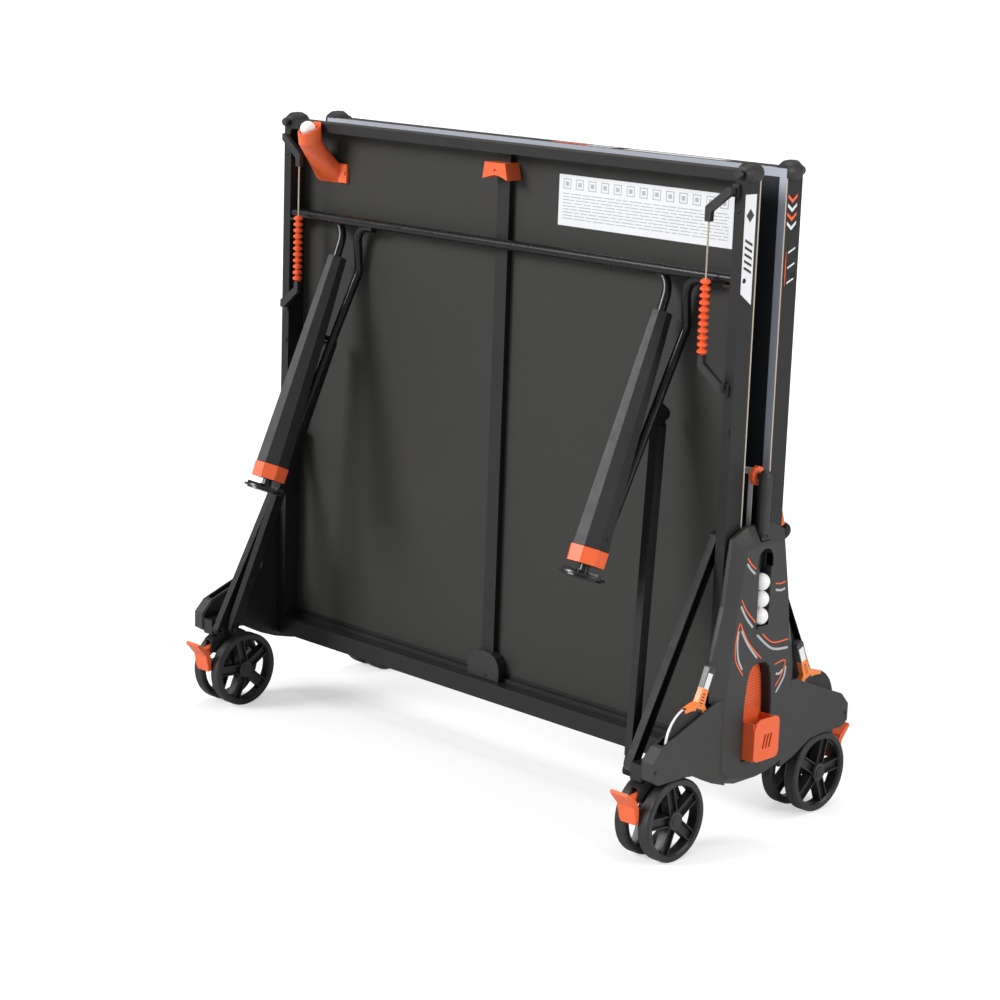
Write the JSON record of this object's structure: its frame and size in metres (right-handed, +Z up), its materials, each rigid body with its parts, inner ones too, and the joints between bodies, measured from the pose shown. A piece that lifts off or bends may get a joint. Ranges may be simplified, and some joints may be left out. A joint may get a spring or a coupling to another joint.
{
  "type": "folding table tennis table",
  "caption": "Roll-away table tennis table folded for storage, with swing-out legs, end housings, net, score counters and storage for balls and rackets.",
  "frame": {"origin": "on the floor under the centre of the folded table", "axes": "+X across the table's width, +Y along play from the front half-top to the back one, +Z up"},
  "size_m": [1.67, 0.808, 1.547],
  "materials": {
    "rail_paint": "satin",
    "tube_paint": "gloss",
    "underside": "matte",
    "soft_grey": "matte",
    "shell_grey": "satin",
    "orange": "satin",
    "bead_red": "gloss",
    "ball_white": "satin",
    "wheel_black": "satin",
    "racket_black": "matte",
    "racket_white": "satin",
    "net_cloth": "matte"
  },
  "bodies": {
    "chassis": {"side_frames": "rail_paint", "centre_beam": "rail_paint", "right_housing": "shell_grey", "left_housing": "shell_grey", "storage_cups": "orange"},
    "net_set": {"net_posts": "soft_grey", "net": "net_cloth"},
    "right_knob": {"right_net_knob": "orange"},
    "left_knob": {"left_net_knob": "orange"},
    "magazine_balls": {"stored_balls": "ball_white"},
    "front_racket": {"front_racket_blade": "racket_black", "front_racket_handle": "racket_white"},
    "back_racket": {"back_racket_blade": "racket_black", "back_racket_handle": "racket_white"},
    "front_right_caster": {"front_right_fork": "wheel_black"},
    "front_right_wheel": {"front_right_wheels": "wheel_black"},
    "front_right_brake": {"front_right_pedal": "orange"},
    "front_left_caster": {"front_left_fork": "wheel_black"},
    "front_left_wheel": {"front_left_wheels": "wheel_black"},
    "front_left_brake": {"front_left_pedal": "orange"},
    "back_right_caster": {"back_right_fork": "wheel_black"},
    "back_right_wheel": {"back_right_wheels": "wheel_black"},
    "back_right_brake": {"back_right_pedal": "orange"},
    "back_left_caster": {"back_left_fork": "wheel_black"},
    "back_left_wheel": {"back_left_wheels": "wheel_black"},
    "back_left_brake": {"back_left_pedal": "orange"},
    "front_shoes": {"front_guide_shoes": "soft_grey"},
    "front_half": {"front_top_panel": "underside", "front_top_frame": "rail_paint", "front_guide_pins": "tube_paint", "front_corner_caps": "soft_grey", "front_bumper": "soft_grey", "ball_holder": "orange", "rail_hook": "orange", "counter_arms": "soft_grey"},
    "front_legs": {"front_leg_frame": "tube_paint", "front_leg_covers": "soft_grey"},
    "front_braces": {"front_panel_struts": "tube_paint"},
    "front_leg_braces": {"front_leg_struts": "tube_paint"},
    "front_right_nut": {"front_right_collar": "orange"},
    "front_right_pad": {"front_right_foot": "wheel_black"},
    "front_left_nut": {"front_left_collar": "orange"},
    "front_left_pad": {"front_left_foot": "wheel_black"},
    "back_shoes": {"back_guide_shoes": "soft_grey"},
    "back_half": {"back_top_panel": "underside", "back_top_frame": "rail_paint", "back_guide_pins": "tube_paint", "back_corner_caps": "soft_grey", "back_bumper": "soft_grey"},
    "back_legs": {"back_leg_frame": "tube_paint", "back_leg_covers": "soft_grey"},
    "back_braces": {"back_panel_struts": "tube_paint"},
    "back_leg_braces": {"back_leg_struts": "tube_paint"},
    "back_right_nut": {"back_right_collar": "orange"},
    "back_right_pad": {"back_right_foot": "wheel_black"},
    "back_left_nut": {"back_left_collar": "orange"},
    "back_left_pad": {"back_left_foot": "wheel_black"},
    "held_ball": {"holder_ball": "ball_white"},
    "right_counter": {"right_beads": "bead_red"},
    "left_counter": {"left_beads": "bead_red"}
  },
  "joints": [
    {"name": "net_lift", "type": "slide", "parent": "chassis", "child": "net_set", "axis": [0, 0, 1], "range_m": [0, 0.0525]},
    {"name": "right_knob_turn", "type": "hinge", "parent": "net_set", "child": "right_knob", "pos_m": [0.762, 0, 0.845], "axis": [1, 0, 0], "continuous": true},
    {"name": "left_knob_turn", "type": "hinge", "parent": "net_set", "child": "left_knob", "pos_m": [-0.762, 0, 0.845], "axis": [-1, 0, 0], "continuous": true},
    {"name": "balls_lift", "type": "slide", "parent": "chassis", "child": "magazine_balls", "axis": [0, 0, 1], "range_m": [0, 0.03]},
    {"name": "front_racket_slide", "type": "slide", "parent": "chassis", "child": "front_racket", "axis": [0, -0.36, 0.933], "range_m": [0, 0.13]},
    {"name": "back_racket_slide", "type": "slide", "parent": "chassis", "child": "back_racket", "axis": [0, 0.36, 0.933], "range_m": [0, 0.13]},
    {"name": "front_right_swivel", "type": "hinge", "parent": "chassis", "child": "front_right_caster", "pos_m": [0.7475, -0.31, 0.194], "axis": [0, 0, 1], "continuous": true},
    {"name": "front_right_roll", "type": "hinge", "parent": "front_right_caster", "child": "front_right_wheel", "pos_m": [0.7475, -0.2602, 0.097], "axis": [1, 0, 0], "continuous": true},
    {"name": "front_right_brake_pedal", "type": "hinge", "parent": "front_right_caster", "child": "front_right_brake", "pos_m": [0.7475, -0.324, 0.164], "axis": [-1, 0, 0], "range_deg": [0, 6]},
    {"name": "front_left_swivel", "type": "hinge", "parent": "chassis", "child": "front_left_caster", "pos_m": [-0.7475, -0.31, 0.194], "axis": [0, 0, 1], "continuous": true},
    {"name": "front_left_roll", "type": "hinge", "parent": "front_left_caster", "child": "front_left_wheel", "pos_m": [-0.7475, -0.2602, 0.097], "axis": [1, 0, 0], "continuous": true},
    {"name": "front_left_brake_pedal", "type": "hinge", "parent": "front_left_caster", "child": "front_left_brake", "pos_m": [-0.7475, -0.324, 0.164], "axis": [-1, 0, 0], "range_deg": [0, 6]},
    {"name": "back_right_swivel", "type": "hinge", "parent": "chassis", "child": "back_right_caster", "pos_m": [0.7475, 0.31, 0.194], "axis": [0, 0, 1], "continuous": true},
    {"name": "back_right_roll", "type": "hinge", "parent": "back_right_caster", "child": "back_right_wheel", "pos_m": [0.7475, 0.2602, 0.097], "axis": [1, 0, 0], "continuous": true},
    {"name": "back_right_brake_pedal", "type": "hinge", "parent": "back_right_caster", "child": "back_right_brake", "pos_m": [0.7475, 0.324, 0.164], "axis": [1, 0, 0], "range_deg": [0, 6]},
    {"name": "back_left_swivel", "type": "hinge", "parent": "chassis", "child": "back_left_caster", "pos_m": [-0.7475, 0.31, 0.194], "axis": [0, 0, 1], "continuous": true},
    {"name": "back_left_roll", "type": "hinge", "parent": "back_left_caster", "child": "back_left_wheel", "pos_m": [-0.7475, 0.2602, 0.097], "axis": [1, 0, 0], "continuous": true},
    {"name": "back_left_brake_pedal", "type": "hinge", "parent": "back_left_caster", "child": "back_left_brake", "pos_m": [-0.7475, 0.324, 0.164], "axis": [1, 0, 0], "range_deg": [0, 6]},
    {"name": "front_shoe_slide", "type": "slide", "parent": "chassis", "child": "front_shoes", "axis": [0, 0.1043, 0.9945], "range_m": [0, 0.53693]},
    {"name": "front_fold", "type": "hinge", "parent": "front_shoes", "child": "front_half", "pos_m": [0, -0.086, 0.184], "axis": [1, 0, 0], "range_deg": [0, 90]},
    {"name": "front_leg_swing", "type": "hinge", "parent": "front_half", "child": "front_legs", "pos_m": [0, -0.086, 1.29], "axis": [1, 0, 0], "range_deg": [-72.7, 0]},
    {"name": "front_brace_swing", "type": "hinge", "parent": "front_half", "child": "front_braces", "pos_m": [0, -0.076, 0.705], "axis": [1, 0, 0], "range_deg": [-39.5, 0]},
    {"name": "front_leg_brace_swing", "type": "hinge", "parent": "front_legs", "child": "front_leg_braces", "pos_m": [0, -0.11203, 0.96894], "axis": [1, 0, 0], "range_deg": [0, 73.48]},
    {"name": "front_right_collar_turn", "type": "hinge", "parent": "front_legs", "child": "front_right_nut", "pos_m": [0.547, -0.31585, 0.66352], "axis": [0, -0.373, -0.9278], "range_deg": [0, 720]},
    {"name": "front_right_foot_travel", "type": "slide", "parent": "front_legs", "child": "front_right_pad", "axis": [0, 0.373, 0.9278], "range_m": [0, 0.012]},
    {"name": "front_left_collar_turn", "type": "hinge", "parent": "front_legs", "child": "front_left_nut", "pos_m": [-0.547, -0.31585, 0.66352], "axis": [0, -0.373, -0.9278], "range_deg": [0, 720]},
    {"name": "front_left_foot_travel", "type": "slide", "parent": "front_legs", "child": "front_left_pad", "axis": [0, 0.373, 0.9278], "range_m": [0, 0.012]},
    {"name": "back_shoe_slide", "type": "slide", "parent": "chassis", "child": "back_shoes", "axis": [0, -0.1043, 0.9945], "range_m": [0, 0.53693]},
    {"name": "back_fold", "type": "hinge", "parent": "back_shoes", "child": "back_half", "pos_m": [0, 0.086, 0.184], "axis": [-1, 0, 0], "range_deg": [0, 90]},
    {"name": "back_leg_swing", "type": "hinge", "parent": "back_half", "child": "back_legs", "pos_m": [0, 0.086, 1.29], "axis": [-1, 0, 0], "range_deg": [-72.7, 0]},
    {"name": "back_brace_swing", "type": "hinge", "parent": "back_half", "child": "back_braces", "pos_m": [0, 0.076, 0.705], "axis": [-1, 0, 0], "range_deg": [-39.5, 0]},
    {"name": "back_leg_brace_swing", "type": "hinge", "parent": "back_legs", "child": "back_leg_braces", "pos_m": [0, 0.11203, 0.96894], "axis": [-1, 0, 0], "range_deg": [0, 73.48]},
    {"name": "back_right_collar_turn", "type": "hinge", "parent": "back_legs", "child": "back_right_nut", "pos_m": [-0.547, 0.31585, 0.66352], "axis": [0, 0.373, -0.9278], "range_deg": [0, 720]},
    {"name": "back_right_foot_travel", "type": "slide", "parent": "back_legs", "child": "back_right_pad", "axis": [0, -0.373, 0.9278], "range_m": [0, 0.012]},
    {"name": "back_left_collar_turn", "type": "hinge", "parent": "back_legs", "child": "back_left_nut", "pos_m": [0.547, 0.31585, 0.66352], "axis": [0, 0.373, -0.9278], "range_deg": [0, 720]},
    {"name": "back_left_foot_travel", "type": "slide", "parent": "back_legs", "child": "back_left_pad", "axis": [0, -0.373, 0.9278], "range_m": [0, 0.012]},
    {"name": "held_ball_lift", "type": "slide", "parent": "front_half", "child": "held_ball", "axis": [0, 0, 1], "range_m": [0, 0.06]},
    {"name": "right_bead_slide", "type": "slide", "parent": "front_half", "child": "right_counter", "axis": [0, 0, 1], "range_m": [0, 0.12]},
    {"name": "left_bead_slide", "type": "slide", "parent": "front_half", "child": "left_counter", "axis": [0, 0, 1], "range_m": [0, 0.12]}
  ],
  "couplings": [
    {"joint": "front_shoe_slide", "follows": "front_fold", "m_per_rad": 0.34182},
    {"joint": "front_leg_swing", "follows": "front_fold", "ratio": -0.80778},
    {"joint": "front_brace_swing", "follows": "front_fold", "ratio": -0.43882},
    {"joint": "front_leg_brace_swing", "follows": "front_fold", "ratio": 0.8163},
    {"joint": "front_right_foot_travel", "follows": "front_right_collar_turn", "m_per_rad": 0.00095492},
    {"joint": "front_left_foot_travel", "follows": "front_left_collar_turn", "m_per_rad": 0.00095492},
    {"joint": "back_shoe_slide", "follows": "back_fold", "m_per_rad": 0.34182},
    {"joint": "back_leg_swing", "follows": "back_fold", "ratio": -0.80778},
    {"joint": "back_brace_swing", "follows": "back_fold", "ratio": -0.43882},
    {"joint": "back_leg_brace_swing", "follows": "back_fold", "ratio": 0.8163},
    {"joint": "back_right_foot_travel", "follows": "back_right_collar_turn", "m_per_rad": 0.00095492},
    {"joint": "back_left_foot_travel", "follows": "back_left_collar_turn", "m_per_rad": 0.00095492}
  ]
}
